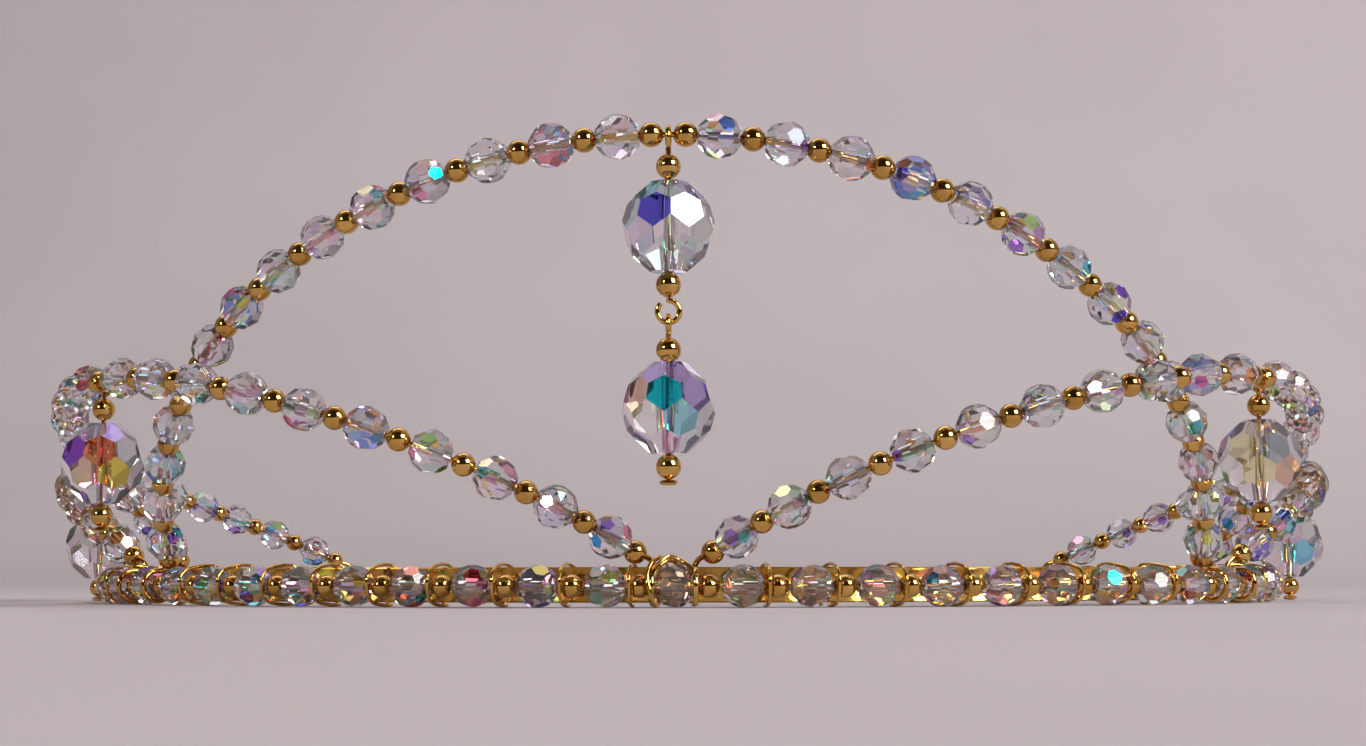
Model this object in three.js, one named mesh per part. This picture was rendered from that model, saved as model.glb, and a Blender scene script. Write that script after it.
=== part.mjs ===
// Bridal tiara: a bead-covered band with five beaded wire arches, each hung with a crystal drop.
// Millimetres, +Z up, the front faces -Y and the plane x = 0 is the mirror plane ("right" is +X).
import * as THREE from "three";

const DEG = Math.PI / 180;

// Plan of the bead row's centreline, from front centre to the end of one side: radius and turn.
const PLAN_ARCS = [
  { radius: 72, turn: 53 * DEG },
  { radius: 38, turn: 43 * DEG },
  { radius: 165, turn: 9 * DEG },
  { radius: 40, turn: 48 * DEG },
];
const ROW_LENGTH = PLAN_ARCS.reduce((sum, arc) => sum + arc.radius * arc.turn, 0);

// Bead row along the band: one crystal at front centre, then gold and crystal in turn.
const ROW_HEIGHT = 2;
const ROW_PITCH = 6.35;
const ROW_GOLDS = 24;
const ROW_PIECE = 6;

// Beads.
const GOLD_RADIUS = 1.1;
const CRYSTAL_RADIUS = 2;
const CRYSTAL_HALF = 1.75;
const CRYSTAL_SHOULDER = 0.9;
const BORE_RADIUS = 0.6;
const BEAD_SIDES = 6;

// Metal strip behind the bead row; offsets are measured outwards from the row's centreline.
const STRIP_OFFSET = -2.45;
const STRIP_THICKNESS = 0.7;
const STRIP_BOTTOM = 0.45;
const STRIP_TALL = 3.3;
const STRIP_FACET = 4;
const TAB_LENGTH = 6;
const END_LOOP_RADIUS = 1.65;

// Wires.
const ARCH_WIRE_RADIUS = 0.28;
const BINDING_RADIUS = 0.17;
const PIN_RADIUS = 0.25;

// Arches rise from just above the bead row. A foot is wound round the row beside a gold bead.
const ARCH_BASE_RISE = 2;
const ARCH_BASE_OFFSET = -1.4;
const FOOT_FROM_GOLD = 1.2;
const FIRST_GOLD = 1.5;
const ARCH_PIECE = 10;

const rowGold = (k) => ROW_PITCH * (k + 0.5);
const rowCrystal = (k) => ROW_PITCH * k;

const ARCHES = {
  centre: {
    inner: -(rowGold(9) + FOOT_FROM_GOLD), apex: 0, outer: rowGold(9) + FOOT_FROM_GOLD,
    rise: 38.95, power: 1.085, lean: (u) => 0.438 + 0.359 * u * u,
    before: { golds: 15, footGap: 1.3 }, after: { golds: 15, footGap: 1.3 },
  },
  side: {
    inner: rowGold(0) - FOOT_FROM_GOLD, apex: 52.6, outer: rowGold(16) + FOOT_FROM_GOLD,
    rise: 19.95, power: 1, lean: (u) => 0.733 - 0.727 * u,
    before: { golds: 11, footGap: 2.5 }, after: { golds: 11, footGap: 1.6 },
  },
  rear: {
    inner: rowGold(10) + FOOT_FROM_GOLD, apex: 99.3, outer: rowGold(22) + FOOT_FROM_GOLD,
    rise: 12.75, power: 1, lean: () => 0.75,
    before: { golds: 8, footGap: 2.2 }, after: { golds: 8, footGap: 2.7 },
  },
};
// Gold beads of the row beside which an arch foot takes the place of the binding wire.
const FOOT_GOLDS = [9, 10, 16, 22];

// Drops: heights below the arch wire on which they hang.
const HANGING_LOOP = { depth: 0.32, radius: 0.95 };
const UPPER_DROP = { goldTop: 2.8, crystal: 8.1, goldBottom: 13.1 };
const DROP_HEAD = 14.3;
const LINK_RING = { depth: 15.43, radius: 0.95 };
const LOWER_EYE = { depth: 16.58, radius: 0.8 };
const LOWER_DROP = { goldTop: 18.75, crystal: 23.75, goldBottom: 28.75 };
const LOWER_HEAD = 29.95;
const HEAD_RADIUS = 0.8;
const HEAD_THICKNESS = 0.4;
const PIN_BORE = 0.45;

const goldMetal = new THREE.MeshStandardMaterial({ color: 0xd8a640, roughness: 0.2, metalness: 1 });
const crystalGlass = new THREE.MeshStandardMaterial({ color: 0xe6ecf8, roughness: 0.05, metalness: 0 });

const tiara = new THREE.Group();
tiara.name = "bridal_tiara";

function add(name, geometry, material) {
  const mesh = new THREE.Mesh(geometry, material);
  mesh.name = name;
  tiara.add(mesh);
}

// The same shape on the other side of the plane x = 0.
function mirrored(geometry) {
  const copy = geometry.index ? geometry.toNonIndexed() : geometry.clone();
  copy.scale(-1, 1, 1);
  const corner = copy.attributes.position;
  for (let i = 0; i < corner.count; i += 3) {
    const swap = [corner.getX(i + 1), corner.getY(i + 1), corner.getZ(i + 1)];
    corner.setXYZ(i + 1, corner.getX(i + 2), corner.getY(i + 2), corner.getZ(i + 2));
    corner.setXYZ(i + 2, ...swap);
  }
  copy.computeVertexNormals();
  return copy;
}

function addPair(name, geometry, material) {
  add(name.replace("SIDE", "right"), geometry, material);
  add(name.replace("SIDE", "left"), mirrored(geometry), material);
}

// Position, heading and outward direction on the row's centreline, a signed length from front centre.
function plan(length) {
  const side = length < 0 ? -1 : 1;
  let left = Math.abs(length);
  let heading = 0;
  let x = 0;
  let y = 0;
  for (const arc of PLAN_ARCS) {
    const turned = Math.min(left / arc.radius, arc.turn);
    x += arc.radius * (Math.sin(heading + turned) - Math.sin(heading));
    y += arc.radius * (Math.cos(heading) - Math.cos(heading + turned));
    heading += turned;
    left -= turned * arc.radius;
  }
  x += left * Math.cos(heading);
  y += left * Math.sin(heading);
  return {
    x: side * x,
    y,
    heading: side * heading,
    outward: new THREE.Vector3(side * Math.sin(heading), -Math.cos(heading), 0),
    tangent: new THREE.Vector3(Math.cos(heading), side * Math.sin(heading), 0),
  };
}

// A point beside the row: length along it, rise above its centreline, offset outwards.
function beside(length, rise, offset) {
  const at = plan(length);
  return new THREE.Vector3(at.x, at.y, ROW_HEIGHT + rise).addScaledVector(at.outward, offset);
}

// Closed surface through rings of points, capped at both ends, with a bore when inner rings are given.
function ringSurface(outer, inner = []) {
  const triangles = [];
  const sides = outer[0].length;
  const quad = (a, b, c, d) => triangles.push(a, b, c, a, c, d);
  const skin = (rings, outwards) => {
    for (let i = 0; i + 1 < rings.length; i += 1) {
      for (let j = 0; j < sides; j += 1) {
        const k = (j + 1) % sides;
        if (outwards) quad(rings[i][j], rings[i][k], rings[i + 1][k], rings[i + 1][j]);
        else quad(rings[i][k], rings[i][j], rings[i + 1][j], rings[i + 1][k]);
      }
    }
  };
  skin(outer, true);
  skin(inner, false);
  const first = outer[0];
  const last = outer[outer.length - 1];
  if (inner.length) {
    const firstBore = inner[0];
    const lastBore = inner[inner.length - 1];
    for (let j = 0; j < sides; j += 1) {
      const k = (j + 1) % sides;
      quad(first[k], first[j], firstBore[j], firstBore[k]);
      quad(last[j], last[k], lastBore[k], lastBore[j]);
    }
  } else {
    for (let j = 1; j + 1 < sides; j += 1) {
      triangles.push(first[0], first[j + 1], first[j]);
      triangles.push(last[0], last[j], last[j + 1]);
    }
  }
  const geometry = new THREE.BufferGeometry().setFromPoints(triangles);
  geometry.computeVertexNormals();
  return geometry;
}

// Round wire along a polyline with mitred bends; the radius may differ from point to point.
function wire(path, radius, sides = 4) {
  const radiusAt = (i) => (Array.isArray(radius) ? radius[i] : radius);
  const along = (i) => path[i + 1].clone().sub(path[i]).normalize();
  let tangent = along(0);
  const helper = Math.abs(tangent.z) < 0.8 ? new THREE.Vector3(0, 0, 1) : new THREE.Vector3(1, 0, 0);
  const across = helper.clone().addScaledVector(tangent, -helper.dot(tangent)).normalize();
  const rings = path.map((point, i) => {
    const next = i + 1 < path.length ? along(i) : tangent;
    const mitre = tangent.clone().add(next).normalize();
    const third = new THREE.Vector3().crossVectors(tangent, across);
    const ring = [];
    for (let j = 0; j < sides; j += 1) {
      const angle = ((j + 0.5) / sides) * 2 * Math.PI;
      const spoke = across.clone().multiplyScalar(Math.cos(angle)).addScaledVector(third, Math.sin(angle));
      spoke.multiplyScalar(radiusAt(i));
      spoke.addScaledVector(tangent, -spoke.dot(mitre) / tangent.dot(mitre));
      ring.push(spoke.add(point));
    }
    across.applyQuaternion(new THREE.Quaternion().setFromUnitVectors(tangent, next)).normalize();
    tangent = next;
    return ring;
  });
  return ringSurface(rings);
}

// Ring of points round a place on a bead string.
function beadRing({ point, tangent, outward }, radius) {
  const out = outward.clone().addScaledVector(tangent, -outward.dot(tangent)).normalize();
  const third = new THREE.Vector3().crossVectors(tangent, out);
  return Array.from({ length: BEAD_SIDES }, (_, j) => {
    const angle = ((j + 0.5) / BEAD_SIDES) * 2 * Math.PI;
    return point.clone()
      .addScaledVector(out, radius * Math.cos(angle))
      .addScaledVector(third, radius * Math.sin(angle));
  });
}

// One body for a run of touching beads: crystals stand out, gold beads are the narrow parts between.
function beadRun(placeAt, beads, bored) {
  const stations = [];
  const lastIndex = beads.length - 1;
  beads.forEach(({ kind, at }, i) => {
    if (kind === "crystal") {
      stations.push([at - CRYSTAL_HALF, GOLD_RADIUS], [at - CRYSTAL_SHOULDER, CRYSTAL_RADIUS]);
      stations.push([at + CRYSTAL_SHOULDER, CRYSTAL_RADIUS], [at + CRYSTAL_HALF, GOLD_RADIUS]);
    } else if (i === 0) {
      stations.push([at - 1, 0.85], [at - 0.5, GOLD_RADIUS]);
    } else if (i === lastIndex) {
      stations.push([at + 0.5, GOLD_RADIUS], [at + 1, 0.85]);
    }
  });
  const outer = stations.map(([at, radius]) => beadRing(placeAt(at), radius));
  if (!bored) return ringSurface(outer);
  const crystals = beads.filter((bead) => bead.kind === "crystal").map((bead) => bead.at);
  const ends = [stations[0][0], stations[stations.length - 1][0]];
  const bore = [ends[0], ...crystals, ends[1]].map((at) => beadRing(placeAt(at), BORE_RADIUS));
  return ringSurface(outer, bore);
}

// Arch curve: u runs from -1 at the inner foot through 0 at the apex to 1 at the outer foot.
function archPoint(arch, u) {
  const length = arch.apex + u * (u < 0 ? arch.apex - arch.inner : arch.outer - arch.apex);
  const climb = (arch.rise - ARCH_BASE_RISE) * Math.max(0, 1 - u * u) ** arch.power;
  return {
    point: beside(length, ARCH_BASE_RISE + climb, ARCH_BASE_OFFSET + climb * arch.lean(u)),
    outward: plan(length).outward,
  };
}

// The arch measured along its wire from the apex: place at a signed distance, and both half lengths.
function archRail(arch) {
  const steps = 800;
  const table = [{ u: -1, length: 0 }];
  for (let i = 1; i <= steps; i += 1) {
    const u = -1 + (2 * i) / steps;
    const step = archPoint(arch, u).point.distanceTo(archPoint(arch, table[i - 1].u).point);
    table.push({ u, length: table[i - 1].length + step });
  }
  const before = table[steps / 2].length;
  const after = table[steps].length - before;
  const placeAt = (distance) => {
    const wanted = Math.min(Math.max(distance + before, 0), before + after);
    const i = Math.max(1, table.findIndex((row) => row.length >= wanted - 1e-9));
    const share = (wanted - table[i - 1].length) / (table[i].length - table[i - 1].length);
    const u = table[i - 1].u + share * (table[i].u - table[i - 1].u);
    const back = archPoint(arch, Math.max(-1, u - 0.002)).point;
    const ahead = archPoint(arch, Math.min(1, u + 0.002)).point;
    return { ...archPoint(arch, u), tangent: ahead.sub(back).normalize() };
  };
  return { placeAt, before, after };
}

// Gold and crystal beads of one half of an arch, from the apex to the foot (direction -1 or 1).
function archBeads(halfLength, { golds, footGap }, direction) {
  const pitch = (halfLength - FIRST_GOLD - footGap) / (golds - 1);
  const beads = [];
  for (let k = 0; k < golds; k += 1) {
    beads.push({ kind: "gold", at: direction * (FIRST_GOLD + k * pitch) });
    if (k + 1 < golds) beads.push({ kind: "crystal", at: direction * (FIRST_GOLD + (k + 0.5) * pitch) });
  }
  return beads;
}

// Bodies of one half: runs of ten beads, the last run takes what is left over.
function archRuns(rail, beads) {
  const count = Math.max(1, Math.floor(beads.length / ARCH_PIECE));
  const runs = [];
  for (let i = 0; i < count; i += 1) {
    const end = i + 1 < count ? (i + 1) * ARCH_PIECE : beads.length;
    const run = beads.slice(i * ARCH_PIECE, end).sort((a, b) => a.at - b.at);
    runs.push(beadRun(rail.placeAt, run, true));
  }
  return runs;
}

// Arch wire: from a wound foot up through the beads and down to the other wound foot.
function archWire(arch, rail) {
  const path = [];
  const steps = Math.round((rail.before + rail.after) / 4);
  for (let i = 0; i <= steps; i += 1) {
    path.push(rail.placeAt(-rail.before + ((rail.before + rail.after) * i) / steps).point);
  }
  const innerFoot = footWinding(arch.inner).reverse();
  return wire([...innerFoot, ...path, ...footWinding(arch.outer)], ARCH_WIRE_RADIUS);
}

// The foot goes down behind the row, under it, up its front and ends on top of it.
function footWinding(length) {
  const radius = 1.62;
  const angles = [150, 195, 240, 285, 330, 375, 420, 462];
  return angles.map((a) => beside(length, radius * Math.sin(a * DEG), radius * Math.cos(a * DEG)));
}

// Binding wire: one turn round row and strip beside each gold bead, slanting across the strip's back.
function bindingWire(firstGold, lastGold, side) {
  const back = STRIP_OFFSET - STRIP_THICKNESS / 2 - BINDING_RADIUS - 0.13;
  const turn = [[back, 2.04], [-1.2, 2.04], [1.27, 0.95], [1.27, -1.1], [-1.9, -1.83], [back, -1.83]];
  const turnAt = (k) => rowGold(k) + side * 0.85;
  const path = [beside(turnAt(firstGold) - 1.75, 0, back)];
  for (let k = firstGold; k <= lastGold; k += 1) {
    const length = turnAt(k);
    if (FOOT_GOLDS.includes(k)) path.push(beside(length, 0, back));
    else for (const [offset, rise] of turn) path.push(beside(length, rise, offset));
  }
  path.push(beside(turnAt(lastGold) + 1.75, -0.6, back));
  return wire(path, BINDING_RADIUS);
}

// Centreline of the metal strip in plan: right half with straight tab and outward-rolled end loop.
function stripHalf() {
  const points = [];
  for (let length = STRIP_FACET / 2; length < ROW_LENGTH; length += STRIP_FACET) {
    points.push(beside(length, 0, STRIP_OFFSET));
  }
  points.push(beside(ROW_LENGTH, 0, STRIP_OFFSET));
  const tabEnd = beside(ROW_LENGTH + TAB_LENGTH, 0, STRIP_OFFSET);
  const { heading, outward } = plan(ROW_LENGTH);
  const hub = tabEnd.clone().addScaledVector(outward, END_LOOP_RADIUS);
  for (let i = 0; i <= 11; i += 1) {
    const angle = heading + Math.PI / 2 - i * 28 * DEG;
    points.push(new THREE.Vector3(
      hub.x + END_LOOP_RADIUS * Math.cos(angle),
      hub.y + END_LOOP_RADIUS * Math.sin(angle),
      0,
    ));
  }
  return points;
}

// One side of a strip of constant thickness laid along a plan polyline.
function offsetLine(points, distance) {
  return points.map((point, i) => {
    const before = points[Math.max(0, i - 1)];
    const after = points[Math.min(points.length - 1, i + 1)];
    const arriving = point.clone().sub(i > 0 ? before : after).normalize();
    if (i === 0) arriving.negate();
    const leaving = i + 1 < points.length ? after.clone().sub(point).normalize() : arriving;
    const mitre = arriving.clone().add(leaving).normalize();
    const reach = distance / mitre.dot(arriving);
    return new THREE.Vector2(point.x + mitre.y * reach, point.y - mitre.x * reach);
  });
}

function band() {
  const right = stripHalf();
  const left = right.map((point) => new THREE.Vector3(-point.x, point.y, 0)).reverse();
  const centreline = [...left, ...right];
  const outside = offsetLine(centreline, STRIP_THICKNESS / 2);
  const inside = offsetLine(centreline, -STRIP_THICKNESS / 2).reverse();
  const outline = new THREE.Shape([...outside, ...inside]);
  const geometry = new THREE.ExtrudeGeometry(outline, { depth: STRIP_TALL, bevelEnabled: false });
  return geometry.translate(0, 0, STRIP_BOTTOM);
}

function bandParts() {
  add("tiara_band", band(), goldMetal);
  add("binding_wire_right_front", bindingWire(1, 11, -1), goldMetal);
  add("binding_wire_right_rear", bindingWire(12, ROW_GOLDS - 1, -1), goldMetal);
  add("binding_wire_left_front", mirrored(bindingWire(0, 11, 1)), goldMetal);
  add("binding_wire_left_rear", mirrored(bindingWire(12, ROW_GOLDS - 1, 1)), goldMetal);
  const placeAt = (length) => {
    const { tangent, outward } = plan(length);
    return { point: beside(length, 0, 0), tangent, outward };
  };
  const front = [];
  for (let k = 1 - ROW_PIECE; k < ROW_PIECE; k += 1) front.push({ kind: "crystal", at: rowCrystal(k) });
  front.unshift({ kind: "gold", at: -rowGold(ROW_PIECE - 1) });
  front.push({ kind: "gold", at: rowGold(ROW_PIECE - 1) });
  add("band_beads_front", beadRun(placeAt, front, false), crystalGlass);
  for (let piece = 1; piece * ROW_PIECE < ROW_GOLDS; piece += 1) {
    const beads = [];
    for (let k = piece * ROW_PIECE; k < (piece + 1) * ROW_PIECE; k += 1) {
      beads.push({ kind: "crystal", at: rowCrystal(k) }, { kind: "gold", at: rowGold(k) });
    }
    addPair(`band_beads_SIDE_${piece}`, beadRun(placeAt, beads, false), crystalGlass);
  }
}

// Points on a circle whose plane holds the vertical and one horizontal axis ("x" or "y").
function circle(axis, { depth, radius }, fromDegrees, toDegrees, steps) {
  return Array.from({ length: steps + 1 }, (_, i) => {
    const angle = (fromDegrees + ((toDegrees - fromDegrees) * i) / steps) * DEG;
    const across = radius * Math.cos(angle);
    const height = radius * Math.sin(angle) - depth;
    return axis === "x" ? new THREE.Vector3(across, 0, height) : new THREE.Vector3(0, across, height);
  });
}

// Pin with a round loop on top and a flat head below the last bead.
function headPin(loop, headDepth) {
  const path = circle("y", loop, -45, 270, 11);
  const radii = path.map(() => PIN_RADIUS);
  const steps = [
    [headDepth - 0.05, PIN_RADIUS], [headDepth, HEAD_RADIUS], [headDepth + HEAD_THICKNESS, HEAD_RADIUS],
  ];
  for (const [depth, radius] of steps) {
    path.push(new THREE.Vector3(0, 0, -depth));
    radii.push(radius);
  }
  return wire(path, radii, 6);
}

// Pin with a loop round the arch wire on top and a ring for the lower drop at the bottom.
function linkPin() {
  const loop = circle("y", HANGING_LOOP, -45, 270, 11);
  const ring = circle("x", LINK_RING, 90, -225, 12);
  return wire([...loop, ...ring], PIN_RADIUS, 6);
}

// Bored solid of revolution about the vertical through a profile of [radius, height] pairs.
function turned(profile, sides, depth) {
  const closed = [...profile, profile[0]].map(([radius, height]) => new THREE.Vector2(radius, height));
  return new THREE.LatheGeometry(closed, sides).rotateX(Math.PI / 2).translate(0, 0, -depth);
}

function goldBead(depth) {
  const latitudes = [-66, -33, 0, 33, 66].map((a) => a * DEG);
  const profile = latitudes.map((a) => [GOLD_RADIUS * Math.cos(a), GOLD_RADIUS * Math.sin(a)]);
  return turned(profile, 8, depth);
}

function largeCrystal(depth) {
  const profile = [
    [PIN_BORE, -3.9], [1.7, -3.9], [3.2, -2.8], [4, -1.1],
    [4, 1.1], [3.2, 2.8], [1.7, 3.9], [PIN_BORE, 3.9],
  ];
  return turned(profile, 12, depth);
}

// Moves a part from the drop's own axes (x along the arch wire, origin on the wire) to its arch.
function hang(geometry, arch) {
  return geometry.rotateZ(plan(arch.apex).heading).translate(...archPoint(arch, 0).point);
}

function dropParts(name, arch, addPart) {
  const put = (part, geometry, material) => addPart(`${name}_${part}`, hang(geometry, arch), material);
  put("pin", arch === ARCHES.centre ? linkPin() : headPin(HANGING_LOOP, DROP_HEAD), goldMetal);
  put("gold_top", goldBead(UPPER_DROP.goldTop), goldMetal);
  put("crystal", largeCrystal(UPPER_DROP.crystal), crystalGlass);
  put("gold_bottom", goldBead(UPPER_DROP.goldBottom), goldMetal);
  if (arch !== ARCHES.centre) return;
  put("lower_pin", headPin(LOWER_EYE, LOWER_HEAD), goldMetal);
  put("lower_gold_top", goldBead(LOWER_DROP.goldTop), goldMetal);
  put("lower_crystal", largeCrystal(LOWER_DROP.crystal), crystalGlass);
  put("lower_gold_bottom", goldBead(LOWER_DROP.goldBottom), goldMetal);
}

function archParts(kind, addPart, prefix) {
  const arch = ARCHES[kind];
  const rail = archRail(arch);
  addPart(`${prefix}${kind}_arch_wire`, archWire(arch, rail), goldMetal);
  const after = archRuns(rail, archBeads(rail.after, arch.after, 1));
  if (kind === "centre") {
    after.forEach((run, i) => addPair(`centre_arch_beads_SIDE_${i + 1}`, run, crystalGlass));
  } else {
    const before = archRuns(rail, archBeads(rail.before, arch.before, -1));
    before.forEach((run, i) => addPart(`${prefix}${kind}_arch_front_beads_${i + 1}`, run, crystalGlass));
    after.forEach((run, i) => addPart(`${prefix}${kind}_arch_back_beads_${i + 1}`, run, crystalGlass));
  }
  dropParts(`${prefix}${kind}_drop`, arch, addPart);
}

bandParts();
archParts("centre", add, "");
archParts("side", addPair, "SIDE_");
archParts("rear", addPair, "SIDE_");

// Origin at the middle of the underside.
tiara.updateMatrixWorld(true);
const box = new THREE.Box3().setFromObject(tiara);
for (const mesh of tiara.children) {
  mesh.geometry.translate(0, -(box.min.y + box.max.y) / 2, -box.min.z);
}

export default tiara;
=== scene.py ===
"""Looks of the bridal tiara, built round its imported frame.

Shapes are worked out in millimetres, in the frame's own axes, and made in metres.
"""
import math
import random

import bmesh
import bpy
from mathutils import Matrix, Vector


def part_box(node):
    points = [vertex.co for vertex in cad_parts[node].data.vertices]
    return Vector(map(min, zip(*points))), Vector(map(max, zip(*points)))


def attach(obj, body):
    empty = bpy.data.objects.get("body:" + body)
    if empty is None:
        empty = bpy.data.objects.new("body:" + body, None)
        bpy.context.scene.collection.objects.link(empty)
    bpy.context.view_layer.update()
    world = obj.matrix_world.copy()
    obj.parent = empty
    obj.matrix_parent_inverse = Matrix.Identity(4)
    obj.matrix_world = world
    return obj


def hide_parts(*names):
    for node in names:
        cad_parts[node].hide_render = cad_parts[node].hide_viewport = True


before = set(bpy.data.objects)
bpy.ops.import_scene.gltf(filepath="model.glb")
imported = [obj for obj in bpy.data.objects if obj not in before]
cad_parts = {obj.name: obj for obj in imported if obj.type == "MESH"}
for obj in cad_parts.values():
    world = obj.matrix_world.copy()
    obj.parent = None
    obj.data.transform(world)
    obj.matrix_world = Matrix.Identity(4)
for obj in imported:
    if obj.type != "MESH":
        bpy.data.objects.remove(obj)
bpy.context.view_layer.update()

MM = 0.001
UP = Vector((0, 0, 1))

# Driving dimensions, repeated from the CAD source, in millimetres.

# Plan of the bead row's centreline, from front centre to the end of one side: radius, and turn in degrees.
PLAN_ARCS = ((72, 53), (38, 43), (165, 9), (40, 48))
ROW_LENGTH = sum(radius * math.radians(turn) for radius, turn in PLAN_ARCS)

# Bead row along the band: one crystal at front centre, then gold and crystal in turn.
ROW_HEIGHT = 2.0
ROW_PITCH = 6.35
ROW_GOLDS = 24
ROW_PIECE = 6

# Beads: radius, half the length and radius of the hole.
SMALL_CRYSTAL = {"radius": 2.0, "half": 1.86, "hole": 0.4}
LARGE_CRYSTAL = {"radius": 4.0, "half": 3.9, "hole": 0.5}
GOLD_RADIUS = 1.1
GOLD_HOLE = 0.4

# Radii of the wires.
ARCH_WIRE = 0.28
BINDING_WIRE = 0.17
LOOSE_WIRE = 0.22
ROW_THREAD = 0.2
PIN = 0.25

# Metal strip behind the bead row. Offsets are measured outwards from the row's centreline.
STRIP_OFFSET = -2.45
STRIP_THICKNESS = 0.7
STRIP_BOTTOM = 0.45
STRIP_TALL = 3.3
STRIP_EDGE = 0.12
TAB_LENGTH = 6
END_LOOP = 1.65

# Arches rise from just above the bead row. A foot is wound round the row beside a gold bead.
BASE_RISE = 2.0
BASE_OFFSET = -1.4
FOOT_FROM_GOLD = 1.2
FIRST_GOLD = 1.5
ARCH_PIECE = 10

# Fineness of the visual model: distance between points of a strip and of a wire, and steps in a loop.
STRIP_STEP = 1.0
WIRE_STEP = 2.5
LOOP_STEPS = 28
SHARP_EDGE = math.radians(40)


def row_gold(k):
    """Length along the row of gold bead k, the first one beside the front crystal being 0."""
    return ROW_PITCH * (k + 0.5)


ARCHES = {
    "centre": {
        "inner": -row_gold(9) - FOOT_FROM_GOLD, "apex": 0, "outer": row_gold(9) + FOOT_FROM_GOLD,
        "rise": 38.95, "power": 1.085, "lean": lambda u: 0.438 + 0.359 * u * u,
        "golds": 15, "gaps": (1.3, 1.3),
    },
    "side": {
        "inner": row_gold(0) - FOOT_FROM_GOLD, "apex": 52.6, "outer": row_gold(16) + FOOT_FROM_GOLD,
        "rise": 19.95, "power": 1, "lean": lambda u: 0.733 - 0.727 * u,
        "golds": 11, "gaps": (2.5, 1.6),
    },
    "rear": {
        "inner": row_gold(10) + FOOT_FROM_GOLD, "apex": 99.3, "outer": row_gold(22) + FOOT_FROM_GOLD,
        "rise": 12.75, "power": 1, "lean": lambda u: 0.75,
        "golds": 8, "gaps": (2.2, 2.7),
    },
}
# Gold beads of the row beside which an arch foot takes the place of the binding wire.
FOOT_GOLDS = (9, 10, 16, 22)

# The row's front centre in the frame: the centre drop hangs this far in front of it.
CENTRE_LEAN = BASE_OFFSET + (ARCHES["centre"]["rise"] - BASE_RISE) * ARCHES["centre"]["lean"](0)
_low, _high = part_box("centre_drop_gold_top")
FRONT_Y = (_low.y + _high.y) / 2 / MM + CENTRE_LEAN


# ---------------------------------------------------------------- places on the tiara

def plan(length):
    """Point, heading and outward direction on the bead row's centreline, a signed length from the front."""
    side = -1 if length < 0 else 1
    left, heading, x, y = abs(length), 0.0, 0.0, 0.0
    for radius, turn in PLAN_ARCS:
        swept = min(left / radius, math.radians(turn))
        x += radius * (math.sin(heading + swept) - math.sin(heading))
        y += radius * (math.cos(heading) - math.cos(heading + swept))
        heading += swept
        left -= swept * radius
    x += left * math.cos(heading)
    y += left * math.sin(heading)
    outward = Vector((side * math.sin(heading), -math.cos(heading), 0))
    return Vector((side * x, y + FRONT_Y, 0)), side * heading, outward


def beside(length, rise, offset):
    """A point beside the row, in millimetres: length along it, rise above it, offset outwards."""
    point, _, outward = plan(length)
    return point + outward * offset + UP * (ROW_HEIGHT + rise)


def row_place(length):
    """Point, tangent and outward direction of a bead in the row."""
    _, heading, outward = plan(length)
    return beside(length, 0, 0), Vector((math.cos(heading), math.sin(heading), 0)), outward


def arch_point(arch, u):
    """Point on an arch's wire and outward direction, u being -1 at the inner foot and 1 at the outer."""
    reach = arch["apex"] - arch["inner"] if u < 0 else arch["outer"] - arch["apex"]
    length = arch["apex"] + u * reach
    climb = (arch["rise"] - BASE_RISE) * max(0.0, 1 - u * u) ** arch["power"]
    return beside(length, BASE_RISE + climb, BASE_OFFSET + climb * arch["lean"](u)), plan(length)[2]


class Rail:
    """An arch measured along its wire from the apex."""

    STEPS = 800
    NUDGE = 0.002

    def __init__(self, arch):
        self.arch = arch
        self.table = [(-1.0, 0.0)]
        last = arch_point(arch, -1)[0]
        for i in range(1, self.STEPS + 1):
            u = -1 + 2 * i / self.STEPS
            point = arch_point(arch, u)[0]
            self.table.append((u, self.table[-1][1] + (point - last).length))
            last = point
        self.before = self.table[self.STEPS // 2][1]
        self.after = self.table[-1][1] - self.before

    def place(self, distance):
        """Point, direction along the wire and outward direction, a signed distance from the apex."""
        wanted = min(max(distance + self.before, 0), self.before + self.after)
        i = next(n for n in range(1, len(self.table)) if self.table[n][1] >= wanted - 1e-9)
        (u0, l0), (u1, l1) = self.table[i - 1], self.table[i]
        u = u0 + (u1 - u0) * (wanted - l0) / (l1 - l0)
        ahead = arch_point(self.arch, min(1, u + self.NUDGE))[0]
        back = arch_point(self.arch, max(-1, u - self.NUDGE))[0]
        point, outward = arch_point(self.arch, u)
        return point, (ahead - back).normalized(), outward


def arch_beads(half_length, golds, gap, direction):
    """Kinds and distances of the beads of one half of an arch, from the apex to the foot."""
    pitch = (half_length - FIRST_GOLD - gap) / (golds - 1)
    beads = []
    for k in range(golds):
        beads.append(("gold", direction * (FIRST_GOLD + k * pitch)))
        if k + 1 < golds:
            beads.append(("crystal", direction * (FIRST_GOLD + (k + 0.5) * pitch)))
    return beads


def row_beads(first, last):
    """Kinds and distances of the beads of one side of the row, each crystal with the gold bead after it."""
    beads = []
    for k in range(first, last + 1):
        beads += [("crystal", ROW_PITCH * k), ("gold", row_gold(k))]
    return beads


def mirror(vectors):
    """The same points or directions on the other side of the tiara's mirror plane."""
    return tuple(Vector((-v.x, v.y, v.z)) for v in vectors)


# ---------------------------------------------------------------- materials

def new_material(name):
    material = bpy.data.materials.new(name)
    material.use_nodes = True
    nodes = material.node_tree.nodes
    return material, nodes, material.node_tree.links, nodes["Principled BSDF"]


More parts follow.
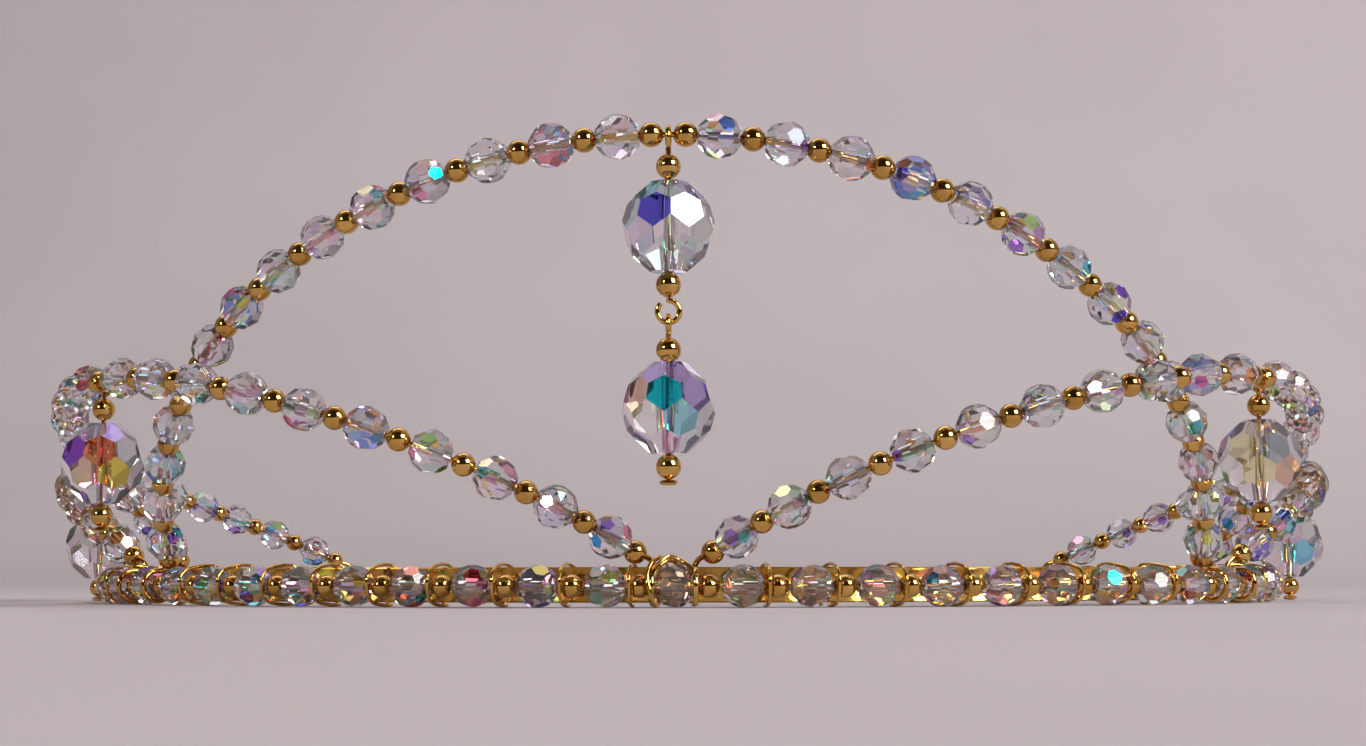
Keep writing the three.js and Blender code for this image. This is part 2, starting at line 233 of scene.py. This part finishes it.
def noise(nodes, links, scale, detail):
    """Factor of a noise fixed to the object."""
    place = nodes.new("ShaderNodeTexCoord")
    cloud = nodes.new("ShaderNodeTexNoise")
    cloud.inputs["Scale"].default_value = scale
    cloud.inputs["Detail"].default_value = detail
    links.new(place.outputs["Object"], cloud.inputs["Vector"])
    return cloud.outputs["Fac"]


def ramp(nodes, links, factor, first, second):
    """Colour that changes between two stops, each a position and a colour."""
    colour = nodes.new("ShaderNodeValToRGB")
    for stop, (position, rgb) in zip(colour.color_ramp.elements, (first, second)):
        stop.position = position
        stop.color = (*rgb, 1)
    links.new(factor, colour.inputs["Fac"])
    return colour.outputs["Color"]


def between(nodes, links, factor, low, high):
    """A factor from 0 to 1 turned into a value from low to high."""
    value = nodes.new("ShaderNodeMapRange")
    value.inputs["To Min"].default_value = low
    value.inputs["To Max"].default_value = high
    links.new(factor, value.inputs["Value"])
    return value.outputs["Result"]


def gold_material(name, dark, light, smoothest, roughest):
    """Gold plate: warm, with slightly uneven polish and fine handling scratches."""
    material, nodes, links, shader = new_material(name)
    shader.inputs["Metallic"].default_value = 1.0
    cloud = noise(nodes, links, scale=320, detail=3)
    links.new(ramp(nodes, links, cloud, (0.3, dark), (0.75, light)), shader.inputs["Base Color"])
    links.new(between(nodes, links, cloud, smoothest, roughest), shader.inputs["Roughness"])
    bump = nodes.new("ShaderNodeBump")
    bump.inputs["Strength"].default_value = 0.05
    bump.inputs["Distance"].default_value = 0.02 * MM
    links.new(noise(nodes, links, scale=2600, detail=2), bump.inputs["Height"])
    links.new(bump.outputs["Normal"], shader.inputs["Normal"])
    return material


# Nanometres.
THICKEST_FILM = 620


def crystal_material():
    """Clear cut crystal whose rainbow coating differs from facet to facet."""
    material, nodes, links, shader = new_material("coated_crystal")
    shader.inputs["Roughness"].default_value = 0.0
    shader.inputs["IOR"].default_value = 1.46
    shader.inputs["Transmission Weight"].default_value = 0.95
    shader.inputs["Thin Film IOR"].default_value = 2.2
    tint = nodes.new("ShaderNodeAttribute")
    tint.attribute_name = "facet_tint"
    links.new(tint.outputs["Color"], shader.inputs["Base Color"])
    film = between(nodes, links, tint.outputs["Alpha"], 0, THICKEST_FILM)
    links.new(film, shader.inputs["Thin Film Thickness"])
    return material


GOLD = gold_material(
    "gold_plate", dark=(0.52, 0.28, 0.06), light=(0.80, 0.50, 0.15), smoothest=0.03, roughest=0.11)
# The strip's gold is painted lighter than the beads' gold as painted light, standing in for the bright light
# its polish catches; its rougher polish and uneven tone are its own.
STRIP_GOLD_PAINTED_LIGHTER = gold_material(
    "strip_gold_painted_lighter", dark=(0.62, 0.28, 0.04), light=(1.0, 0.66, 0.16), smoothest=0.1, roughest=0.24)
CRYSTAL = crystal_material()


# ---------------------------------------------------------------- building pieces

def keep(obj, body, replaced=()):
    """Puts a piece on its body, in place of the frame nodes that it stands for."""
    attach(obj, body)
    if replaced:
        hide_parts(*replaced)
    return obj


def add_object(name, data):
    obj = bpy.data.objects.new(name, data)
    bpy.context.scene.collection.objects.link(obj)
    return obj


def mesh_object(name, vertices, faces, material, smooth):
    """Mesh with vertices in millimetres."""
    mesh = bpy.data.meshes.new(name)
    mesh.from_pydata([v * MM for v in vertices], [], faces)
    mesh.materials.append(material)
    mesh.polygons.foreach_set("use_smooth", [smooth] * len(mesh.polygons))
    mesh.update()
    return add_object(name, mesh)


def wire_object(name, points, radius, smooth=True, corners=()):
    """Round wire through points in millimetres, straight between neighbours numbered in corners."""
    curve = bpy.data.curves.new(name, "CURVE")
    curve.dimensions = "3D"
    curve.bevel_depth = radius * MM
    curve.bevel_resolution = 3
    curve.use_fill_caps = True
    spline = curve.splines.new("BEZIER" if smooth else "POLY")
    if smooth:
        spline.bezier_points.add(len(points) - 1)
        for i, (knot, point) in enumerate(zip(spline.bezier_points, points)):
            knot.co = point * MM
            knot.handle_left_type = knot.handle_right_type = "VECTOR" if i in corners else "AUTO"
        spline.resolution_u = 5
    else:
        spline.points.add(len(points) - 1)
        for knot, point in zip(spline.points, points):
            knot.co = (*(point * MM), 1)
    curve.materials.append(GOLD)
    return add_object(name, curve)


def bead_matrix(tangent, outward):
    """Local z runs along the wire, local x outwards."""
    across = (outward - tangent * outward.dot(tangent)).normalized()
    return Matrix((across, tangent.cross(across), tangent)).transposed().to_4x4()


# Rings of facets of a cut crystal: latitude in degrees, and turn in parts of a facet.
FACET_RINGS = ((17, 0), (-17, 0.5), (49, 0.5), (-49, 0))
RING_FACETS = 8
# Corners nearer together than this share of the bead's radius are one corner.
SAME_CORNER = 1e-4


def facet_normals():
    """Directions that the facets of a cut bead face: its rings, then its top and bottom ends."""
    normals = []
    for latitude, shift in FACET_RINGS:
        reach, height = math.cos(math.radians(latitude)), math.sin(math.radians(latitude))
        for k in range(RING_FACETS):
            azimuth = 2 * math.pi * (k + shift) / RING_FACETS
            normals.append(Vector((reach * math.cos(azimuth), reach * math.sin(azimuth), height)))
    return [*normals, UP, -UP]


def cut_corners(normals, distances):
    """Corners of the solid that planes cut out round the origin, and the set of planes through each."""
    dual = bmesh.new()
    for normal, distance in zip(normals, distances):
        dual.verts.new(normal / distance)
    bmesh.ops.convex_hull(dual, input=dual.verts)
    dual.verts.index_update()
    corners, planes = [], []
    for face in dual.faces:
        a, b, c = (v.co for v in face.verts)
        normal = (b - a).cross(c - a)
        corner = normal / normal.dot(a)
        touching = {v.index for v in face.verts}
        for known, through in zip(corners, planes):
            if (known - corner).length < SAME_CORNER * max(distances):
                through |= touching
                break
        else:
            corners.append(corner)
            planes.append(touching)
    dual.free()
    return corners, planes


def outline(points, facet, normal):
    """The numbered points of a flat facet in order round it, anticlockwise seen from outside."""
    middle = sum((points[i] for i in facet), Vector()) / len(facet)
    side = normal.orthogonal().normalized()
    other = normal.cross(side)

    def direction(i):
        spoke = points[i] - middle
        return math.atan2(spoke.dot(other), spoke.dot(side))

    return sorted(facet, key=direction)


def pierce(points, faces, end, hole):
    """Makes an end facet with a round hole, and returns the numbers of the new points round the hole."""
    start, count = len(points), len(end)
    for i in end:
        outer = points[i]
        points.append(Vector((outer.x, outer.y, 0)).normalized() * hole + UP * outer.z)
    for j in range(count):
        n = (j + 1) % count
        faces.append([end[j], end[n], start + n, start + j])
    return range(start, start + count)


def hole_wall(points, top, bottom):
    """Faces of the hole's wall. Its two ends run opposite ways round, so points are matched by place."""
    def under(above):
        return min(bottom, key=lambda i: (points[i].xy - points[above].xy).length)

    return [[b, under(b), under(a), a] for a, b in zip(top, [*top[1:], top[0]])]


def facet_ball(radius, half, hole):
    """Round cut bead about local z: rings of flat facets, flat ends and a hole through."""
    normals = facet_normals()
    distances = [radius] * (len(normals) - 2) + [half, half]
    corners, planes = cut_corners(normals, distances)
    # The corners stand out past the facets, so the solid is drawn in until the widest are at the radius.
    scale = radius / max(math.hypot(c.x, c.y) for c in corners)
    points = [Vector((c.x * scale, c.y * scale, c.z)) for c in corners]
    faces, holes = [], []
    for index, normal in enumerate(normals):
        facet = outline(points, [i for i, through in enumerate(planes) if index in through], normal)
        if abs(normal.z) < 1:
            faces.append(facet)
        else:
            holes.append(pierce(points, faces, facet, hole))
    return points, faces + hole_wall(points, *holes)


# Coating colours of single facets: what light keeps when it crosses one.
AB_TINTS = (
    (0.14, 0.10, 0.85), (0.06, 0.22, 0.80), (0.02, 0.62, 0.74), (0.28, 0.80, 0.95),
    (0.95, 0.78, 0.15), (0.62, 0.90, 0.35), (0.92, 0.36, 0.58), (0.95, 0.42, 0.14),
    (0.42, 0.20, 0.82), (0.75, 0.08, 0.14),
)
CLEAR = (0.94, 0.93, 0.95)
# Share of the facets that are strongly coloured.
SMALL_SHARE = 0.13
LARGE_SHARE = 0.1
# Share of the thickest film that mirrors white light best, used on the icy facets.
SILVER_FILM = 0.1
# First facet of each ring. Each next facet of a ring is further right, seen from in front.
MIDDLE, BELOW, ABOVE = (RING_FACETS * ring for ring in range(3))
BLUE, VIOLET, TEAL = (0.16, 0.14, 0.78), (0.32, 0.08, 0.68), (0.02, 0.62, 0.70)
ICE, CYAN, MAUVE = (0.72, 0.84, 0.90), (0.42, 0.82, 0.90), (0.60, 0.50, 0.84)
TAWNY, ORANGE, YELLOW = (0.86, 0.64, 0.50), (0.92, 0.34, 0.18), (0.98, 0.84, 0.14)
STRAW, LILAC = (0.96, 0.92, 0.60), (0.80, 0.72, 0.84)
# Large crystals at the front: degrees right of the front that facet 0 faces, and colours of their facets.
DROP_FACETS = {
    "centre_drop_crystal": (-17, {
        MIDDLE: BLUE, MIDDLE + 1: ICE, MIDDLE + 7: ICE, ABOVE: ICE, ABOVE + 7: CYAN, ABOVE + 1: MAUVE,
        BELOW + 7: LILAC}),
    "centre_drop_lower_crystal": (-4, {
        MIDDLE: TEAL, MIDDLE + 1: MAUVE, MIDDLE + 7: TAWNY, ABOVE + 7: VIOLET, ABOVE: MAUVE, BELOW: CYAN}),
    "left_side_drop_crystal": (12, {
        MIDDLE: ORANGE, MIDDLE + 7: VIOLET, BELOW + 7: TAWNY, BELOW: YELLOW, ABOVE + 7: MAUVE}),
    "right_side_drop_crystal": (8, {MIDDLE + 7: STRAW, BELOW + 7: STRAW, BELOW: TAWNY, MIDDLE: ICE}),
}


# How strongly a facet is coloured, the share of facets with a film, and its share of the thickest.
STRONG = (0.75, 1.0)
FAINT = (0.0, 0.08)
FILM_SHARE = 0.45
FILM = (0.3, 1.0)


def facet_coating(chance, share):
    """Colour and film of one facet: a few are strongly coloured, most are nearly clear."""
    tint = chance.choice(AB_TINTS)
    strength = chance.uniform(*(STRONG if chance.random() < share else FAINT))
    film = chance.uniform(*FILM) if chance.random() < FILM_SHARE else 0.0
    return tuple(clear * (1 - strength) + c * strength for clear, c in zip(CLEAR, tint)), film


def crystals(name, template, places, share, turn=None, tints=None):
    """One mesh of cut crystals, each turned by its own angle round the wire unless one is given."""
    points, faces = template
    node = name.rpartition(".")[0]
    chance = random.Random(sum(ord(letter) for letter in node))
    vertices, polygons, coatings = [], [], []
    for point, tangent, outward in places:
        angle = chance.uniform(0, 2 * math.pi) if turn is None else turn
        matrix = bead_matrix(tangent, outward) @ Matrix.Rotation(angle, 4, "Z")
        start = len(vertices)
        vertices += [point + (matrix @ p) for p in points]
        for face in faces:
            polygons.append([start + i for i in face])
            coatings.append(facet_coating(chance, share))
    for facet, tint in (tints or {}).items():
        coatings[facet] = (tint, SILVER_FILM if tint == ICE else 0.0)
    obj = mesh_object(name, vertices, polygons, CRYSTAL, smooth=False)
    layer = obj.data.attributes.new("facet_tint", "FLOAT_COLOR", "CORNER")
    values = []
    for polygon, (tint, film) in zip(obj.data.polygons, coatings):
        # The shader applies the root of its colour at each facet, hence the squares.
        values += [*(c * c for c in tint), film] * polygon.loop_total
    layer.data.foreach_set("color", values)
    return obj


def revolve(profile, sides, closed):
    """Points and faces of a (radius, height) profile turned about z, with flat caps unless it is closed."""
    points, faces = [], []
    for reach, height in profile:
        for j in range(sides):
            a = 2 * math.pi * j / sides
            points.append(Vector((reach * math.cos(a), reach * math.sin(a), height)))
    count = len(profile)
    for i in range(count if closed else count - 1):
        n = (i + 1) % count
        for j in range(sides):
            k = (j + 1) % sides
            faces.append([i * sides + j, n * sides + j, n * sides + k, i * sides + k])
    if not closed:
        faces.append(list(range(sides)))
        faces.append([(count - 1) * sides + j for j in reversed(range(sides))])
    return points, faces


def gold_ball(hole):
    """Round bead with a hole along local z."""
    rings = 11
    end = math.asin(hole / GOLD_RADIUS)
    profile = []
    for i in range(rings):
        angle = end + (math.pi - 2 * end) * i / (rings - 1)
        profile.append((GOLD_RADIUS * math.sin(angle), GOLD_RADIUS * math.cos(angle)))
    return revolve(profile, sides=20, closed=True)


def golds(name, places):
    """One mesh of gold beads."""
    points, faces = GOLD_BALL
    vertices, polygons = [], []
    for point, tangent, outward in places:
        matrix = bead_matrix(tangent, outward)
        start = len(vertices)
        vertices += [point + (matrix @ p) for p in points]
        polygons += [[start + i for i in face] for face in faces]
    return mesh_object(name, vertices, polygons, GOLD, smooth=True)


GOLD_BALL = gold_ball(GOLD_HOLE)
SMALL_CUT = facet_ball(**SMALL_CRYSTAL)
LARGE_CUT = facet_ball(**LARGE_CRYSTAL)


def bead_run(node, beads, place_at, mirrored=False):
    """Crystals and gold beads that stand for one bead run of the frame."""
    places = {"gold": [], "crystal": []}
    for kind, at in beads:
        place = place_at(at)
        places[kind].append(mirror(place) if mirrored else place)
    cut = crystals(f"{node}.crystals", SMALL_CUT, places["crystal"], SMALL_SHARE)
    keep(cut, "tiara", [node])
    keep(golds(f"{node}.golds", places["gold"]), "tiara")


# ---------------------------------------------------------------- band

def strip_line():
    """The strip's centreline from end to end, with its straight tabs and the open loops rolled outwards."""
    tab_steps, loop_steps, loop_turn = 3, 30, math.radians(308)
    half = []
    length = STRIP_STEP / 2
    while length < ROW_LENGTH:
        half.append(beside(length, 0, STRIP_OFFSET))
        length += STRIP_STEP
    _, heading, outward = plan(ROW_LENGTH)
    for i in range(tab_steps):
        half.append(beside(ROW_LENGTH + TAB_LENGTH * i / tab_steps, 0, STRIP_OFFSET))
    hub = beside(ROW_LENGTH + TAB_LENGTH, 0, STRIP_OFFSET) + outward * END_LOOP
    for i in range(loop_steps + 1):
        angle = heading + math.pi / 2 - loop_turn * i / loop_steps
        half.append(hub + Vector((math.cos(angle), math.sin(angle), 0)) * END_LOOP)
    flat = [Vector((p.x, p.y, 0)) for p in half]
    return [*mirror(reversed(flat)), *flat]


def band_strip():
    """The metal strip with soft edges, as one closed sweep."""
    line = strip_line()
    t, h, edge = STRIP_THICKNESS / 2, STRIP_TALL, STRIP_EDGE
    section = [(-t, edge), (-t, h - edge), (-t + edge, h), (t - edge, h), (t, h - edge), (t, edge),
               (t - edge, 0), (-t + edge, 0)]
    vertices = []
    for i, point in enumerate(line):
        along = (line[min(i + 1, len(line) - 1)] - line[max(i - 1, 0)]).normalized()
        out = Vector((along.y, -along.x, 0))
        for across, height in section:
            vertices.append(point + out * across + UP * (STRIP_BOTTOM + height))
    count = len(section)
    faces = []
    for i in range(len(line) - 1):
        for j in range(count):
            k = (j + 1) % count
            faces.append([i * count + j, i * count + k, (i + 1) * count + k, (i + 1) * count + j])
    faces.append(list(reversed(range(count))))
    faces.append([(len(line) - 1) * count + j for j in range(count)])
    strip = mesh_object("band_strip", vertices, faces, STRIP_GOLD_PAINTED_LIGHTER, smooth=True)
    strip.data.set_sharp_from_angle(angle=SHARP_EDGE)
    keep(strip, "tiara", ["tiara_band"])


def binding_wire(side, name, first, last):
    """One turn on the viewer's left of each gold bead, slanting across the back of the strip."""
    gap, tail, tail_rise = 0.08, 1.75, -0.6
    back = STRIP_OFFSET - STRIP_THICKNESS / 2 - BINDING_WIRE - gap
    # Offset and rise of one turn's points.
    turn = ((back, 2.0), (-1.3, 2.02), (1.05, 1.12), (1.22, -0.3), (0.6, -1.3), (-1.3, -1.78), (back, -1.8))
    beyond = 0.85 if side == "left" else -0.85
    points = [beside(row_gold(first) + beyond - tail, 0, back)]
    corners = {0}
    for k in range(first, last + 1):
        length = row_gold(k) + beyond
        if k in FOOT_GOLDS:
            points.append(beside(length, 0, back))
            corners.add(len(points) - 1)
            continue
        corners |= {len(points), len(points) + len(turn) - 1}
        points += [beside(length, rise, offset) for offset, rise in turn]
    points.append(beside(row_gold(last) + beyond + tail, tail_rise, back))
    corners.add(len(points) - 1)
    node = f"binding_wire_{side}_{name}"
    if side == "left":
        points = mirror(points)
    wire = wire_object(f"{node}.round", points, BINDING_WIRE, corners=corners)
    keep(wire, "tiara", [node])


def row_thread():
    """The stringing wire through the whole row, a little beyond its last gold beads."""
    end = row_gold(ROW_GOLDS - 1) + 1
    steps = round(2 * end / WIRE_STEP)
    thread = [beside(-end + 2 * end * i / steps, 0, 0) for i in range(steps + 1)]
    keep(wire_object("row_thread", thread, ROW_THREAD, smooth=False), "tiara")


def band():
    band_strip()
    last = ROW_PIECE - 1
    front = [("gold", -row_gold(k)) for k in range(last, -1, -1)] + row_beads(0, last)
    front += [("crystal", -ROW_PITCH * k) for k in range(1, ROW_PIECE)]
    bead_run("band_beads_front", front, row_place)
    for side in ("right", "left"):
        binding_wire(side, "front", 0 if side == "left" else 1, ROW_GOLDS // 2 - 1)
        binding_wire(side, "rear", ROW_GOLDS // 2, ROW_GOLDS - 1)
        for piece in range(1, ROW_GOLDS // ROW_PIECE):
            beads = row_beads(piece * ROW_PIECE, (piece + 1) * ROW_PIECE - 1)
            bead_run(f"band_beads_{side}_{piece}", beads, row_place, side == "left")
    row_thread()


# ---------------------------------------------------------------- arches

def foot_winding(length):
    """Nearly a whole turn of an arch's wire round the bead row."""
    radius = 1.58
    angles = (math.radians(a) for a in (*range(150, 421, 45), 462))
    return [beside(length, radius * math.sin(a), radius * math.cos(a)) for a in angles]


def front_windings():
    """Ends of the side arches' wires, turned loosely over the front crystal: (length, rise, offset)."""
    back = STRIP_OFFSET - STRIP_THICKNESS / 2 - 2 * ARCH_WIRE
    short = (
        (-1.45, -1.72, 1.35), (-1.85, -1.2, 1.6), (-2.15, -0.3, 1.72), (-2.35, 0.7, 1.5), (-2.25, 1.65, 1.0),
        (-1.8, 2.35, 0.4), (-1.2, 2.6, -0.5), (-0.9, 2.3, -1.6), (-0.8, 1.8, back), (-0.8, 0, back),
    )
    long = (
        (-1.6, -1.65, back), (-1.95, -1.7, -0.9), (-2.05, -1.1, 0.9), (-2.1, 0.4, 1.22), (-1.7, 1.55, 1.0),
        (-1.15, 2.25, 0.75), (-0.45, 2.72, 0.25), (0.5, 2.35, -0.25), (1.45, 1.8, 0.35), (1.97, 0.9, 1.0),
        (2.05, 0, 1.3), (1.97, -1.1, 0.8), (1.9, -1.65, -0.9), (1.6, -1.6, back),
    )
    # The third turn follows the long one over the crystal's front, a little lower and further out.
    low = tuple((length - 0.05, rise * 0.86, offset + 0.3) for length, rise, offset in long[3:7])
    low += ((0.2, 2.1, -0.9), (0.6, 1.9, back), (0.9, 0, back))
    for i, turn in enumerate((short, long, low)):
        points = [beside(*place) for place in turn]
        keep(wire_object(f"front_winding_{i + 1}", points, LOOSE_WIRE), "tiara")


def arch_wire(node, arch, rail, mirrored):
    """An arch's wire with a winding at each foot."""
    whole = rail.before + rail.after
    steps = round(whole / WIRE_STEP)
    path = [rail.place(-rail.before + whole * i / steps)[0] for i in range(steps + 1)]
    points = foot_winding(arch["inner"])[::-1] + path + foot_winding(arch["outer"])
    if mirrored:
        points = mirror(points)
    keep(wire_object(f"{node}.round", points, ARCH_WIRE), "tiara", [node])


def arch_half(nodes, rail, beads, mirrored):
    """Splits the beads of half an arch among its bead runs, the last of which takes what is left."""
    for i, node in enumerate(nodes):
        start = i * ARCH_PIECE
        stop = len(beads) if i + 1 == len(nodes) else start + ARCH_PIECE
        bead_run(node, beads[start:stop], rail.place, mirrored)


def arches():
    front_windings()
    for kind, arch in ARCHES.items():
        rail = Rail(arch)
        inner = arch_beads(rail.before, arch["golds"], arch["gaps"][0], -1)
        outer = arch_beads(rail.after, arch["golds"], arch["gaps"][1], 1)
        if kind == "centre":
            arch_wire("centre_arch_wire", arch, rail, False)
            for side in ("right", "left"):
                nodes = [f"centre_arch_beads_{side}_{i}" for i in (1, 2)]
                arch_half(nodes, rail, outer, side == "left")
            continue
        count = max(1, len(outer) // ARCH_PIECE)
        for side in ("right", "left"):
            mirrored = side == "left"
            arch_wire(f"{side}_{kind}_arch_wire", arch, rail, mirrored)
            for part, beads in (("front", inner), ("back", outer)):
                nodes = [f"{side}_{kind}_arch_{part}_beads_{i + 1}" for i in range(count)]
                arch_half(nodes, rail, beads, mirrored)


# ---------------------------------------------------------------- drops

# Depths below the arch's wire, and for a loop or ring its depth and radius.
HANGING_LOOP = (0.32, 0.95)
LINK_RING = (15.43, 0.95)
LOWER_EYE = (16.58, 0.8)
UPPER_DROP = {"gold_top": 2.8, "crystal": 8.1, "gold_bottom": 13.1}
LOWER_DROP = {"gold_top": 18.75, "crystal": 23.75, "gold_bottom": 28.75}
DROP_HEAD = 14.35
LOWER_HEAD = 30.0
# First and last angle of a loop's wire and of a ring's, in degrees.
LOOP_BEND = (-45, 270)
RING_BEND = (90, -225)


def circle(axis, depth_radius, start, stop):
    """Points of a loop in the plane of the vertical and the given horizontal axis."""
    depth, radius = depth_radius
    points = []
    for i in range(LOOP_STEPS + 1):
        angle = math.radians(start + (stop - start) * i / LOOP_STEPS)
        points.append(axis * (radius * math.cos(angle)) + UP * (radius * math.sin(angle) - depth))
    return points


def pin_head(name, wire_at, depth, body):
    """The flat head that a drop's lowest bead rests on."""
    # Radius and height of the profile's points.
    profile = ((0.3, 0.12), (0.62, 0.1), (0.78, 0.0), (0.78, -0.16), (0.62, -0.3), (0.2, -0.36))
    points, faces = revolve(profile, sides=24, closed=False)
    head = mesh_object(name, [wire_at - UP * depth + p for p in points], faces, GOLD, smooth=True)
    head.data.set_sharp_from_angle(angle=SHARP_EDGE)
    keep(head, body)


def drop_beads(body, wire_at, out, depths):
    """The gold beads and the large crystal of one drop, in place of their CAD nodes."""
    down = {part: wire_at - UP * depth for part, depth in depths.items()}
    for part in ("gold_top", "gold_bottom"):
        node = f"{body}_{part}"
        keep(golds(f"{node}.round", [(down[part], UP, out)]), body, [node])
    node = f"{body}_crystal"
    degrees, tints = DROP_FACETS.get(node, (None, None))
    turn = None if degrees is None else math.radians(degrees - 90) - math.atan2(out.y, out.x)
    cut = crystals(f"{node}.cut", LARGE_CUT, [(down["crystal"], UP, out)], LARGE_SHARE, turn, tints)
    keep(cut, node, [node])


def drop_pin(body, points):
    """A drop's pin, bent at its top into the loop that the drop hangs by."""
    node = f"{body}_pin"
    keep(wire_object(f"{node}.round", points, PIN, smooth=False), body, [node])


def centre_drop(wire_at, out):
    """The centre drop, whose pin ends in a ring, and the lower drop that hangs in that ring."""
    drop_beads("centre_drop", wire_at, out, UPPER_DROP)
    loop = circle(out, HANGING_LOOP, *LOOP_BEND)
    ring = circle(Vector((1, 0, 0)), LINK_RING, *RING_BEND)
    drop_pin("centre_drop", [wire_at + p for p in loop + ring])
    drop_beads("centre_drop_lower", wire_at, out, LOWER_DROP)
    shank = [*circle(out, LOWER_EYE, *LOOP_BEND), -UP * LOWER_HEAD]
    drop_pin("centre_drop_lower", [wire_at + p for p in shank])
    pin_head("centre_drop_lower_pin.head", wire_at, LOWER_HEAD, "centre_drop_lower")


def plain_drop(body, wire_at, out):
    """A side or rear drop."""
    drop_beads(body, wire_at, out, UPPER_DROP)
    shank = [*circle(out, HANGING_LOOP, *LOOP_BEND), -UP * DROP_HEAD]
    drop_pin(body, [wire_at + p for p in shank])
    pin_head(f"{body}_pin.head", wire_at, DROP_HEAD, body)


def drops():
    centre_drop(*arch_point(ARCHES["centre"], 0))
    for kind in ("side", "rear"):
        hanging = arch_point(ARCHES[kind], 0)
        plain_drop(f"right_{kind}_drop", *hanging)
        plain_drop(f"left_{kind}_drop", *mirror(hanging))


# ---------------------------------------------------------------- studio

def camera():
    """At the viewer's place in front of the tiara, just above the bead row, looking slightly up."""
    place = Vector((6.25, FRONT_Y - 200, ROW_HEIGHT + 0.9)) * MM
    yaw, pitch, roll = (math.radians(a) for a in (-1.55, 5.34, -0.08))
    ahead = Vector((math.sin(yaw), math.cos(yaw), 0))
    right = Vector((math.cos(yaw), -math.sin(yaw), 0))
    forward = ahead * math.cos(pitch) + UP * math.sin(pitch)
    lift = UP * math.cos(pitch) - ahead * math.sin(pitch)
    x_axis = right * math.cos(roll) + lift * math.sin(roll)
    y_axis = lift * math.cos(roll) - right * math.sin(roll)
    data = bpy.data.cameras.new("camera")
    data.sensor_width = 36
    data.lens = 57.28
    data.clip_start = 0.01
    data.clip_end = 20
    obj = add_object("camera", data)
    obj.matrix_world = Matrix.Translation(place) @ Matrix((x_axis, y_axis, -forward)).transposed().to_4x4()
    bpy.context.scene.camera = obj


def stage():
    """Wide pale floor that sweeps up into a backdrop."""
    reach, floor_depth, bend, bend_steps, wall_height = 4000, 500, 300, 12, 1500
    profile = [Vector((0, -reach, 0)), Vector((0, floor_depth, 0))]
    for i in range(1, bend_steps + 1):
        angle = math.radians(90 * i / bend_steps)
        profile.append(Vector((0, floor_depth + bend * math.sin(angle), bend * (1 - math.cos(angle)))))
    profile.append(Vector((0, floor_depth + bend, wall_height)))
    vertices = []
    for p in profile:
        vertices += [p + Vector((-reach, 0, 0)), p + Vector((reach, 0, 0))]
    faces = [[2 * i, 2 * i + 1, 2 * i + 3, 2 * i + 2] for i in range(len(profile) - 1)]
    material, nodes, links, shader = new_material("pale_cove")
    shader.inputs["Roughness"].default_value = 0.8
    shader.inputs["Specular IOR Level"].default_value = 0.2
    cloud = noise(nodes, links, scale=6, detail=2)
    colour = ramp(nodes, links, cloud, (0, (0.42, 0.38, 0.40)), (1, (0.50, 0.455, 0.48)))
    links.new(colour, shader.inputs["Base Color"])
    obj = mesh_object("cove", vertices, faces, material, smooth=True)


def area_light(name, place, aim, size, power, colour):
    """Rectangular light, with its place, aim and size in metres and its power in watts."""
    data = bpy.data.lights.new(name, "AREA")
    data.shape = "RECTANGLE"
    data.size, data.size_y = size
    data.energy = power
    data.color = colour
    obj = add_object(name, data)
    obj.location = place
    obj.rotation_mode = "QUATERNION"
    obj.rotation_quaternion = (Vector(aim) - Vector(place)).to_track_quat("-Z", "Y")


def room_light():
    """A room that is dim towards the viewer and pale elsewhere."""
    world = bpy.data.worlds.new("studio")
    bpy.context.scene.world = world
    world.use_nodes = True
    nodes, links = world.node_tree.nodes, world.node_tree.links
    place = nodes.new("ShaderNodeTexCoord")
    facing = nodes.new("ShaderNodeVectorMath")
    facing.operation = "DOT_PRODUCT"
    towards_viewer = (0, -0.94, 0.34)
    facing.inputs[1].default_value = towards_viewer
    links.new(place.outputs["Generated"], facing.inputs[0])
    pale, dim = (0.1, (0.30, 0.26, 0.27)), (0.65, (0.035, 0.026, 0.022))
    links.new(ramp(nodes, links, facing.outputs["Value"], pale, dim), nodes["Background"].inputs["Color"])


def lights():
    """A window, a small lamp, soft top light and a glow on the backdrop."""
    target = (0, 0, 0.02)
    area_light("window", (1.39, -1.17, 1.03), target, (0.9, 0.9), 52, (1, 0.99, 0.96))
    area_light("lamp", (-0.68, -0.75, 0.42), target, (0.12, 0.12), 3.5, (1, 0.9, 0.75))
    area_light("overhead", (-0.2, 0.45, 0.9), target, (1.0, 0.3), 1.2, (0.97, 0.97, 1))
    area_light("backdrop", (0.0, 0.25, 0.9), (0, 0.8, 0.15), (1.2, 0.2), 1.2, (1, 0.95, 0.97))


camera()
band()
arches()
drops()
stage()
room_light()
lights()
bpy.context.scene.view_settings.view_transform = "Standard"
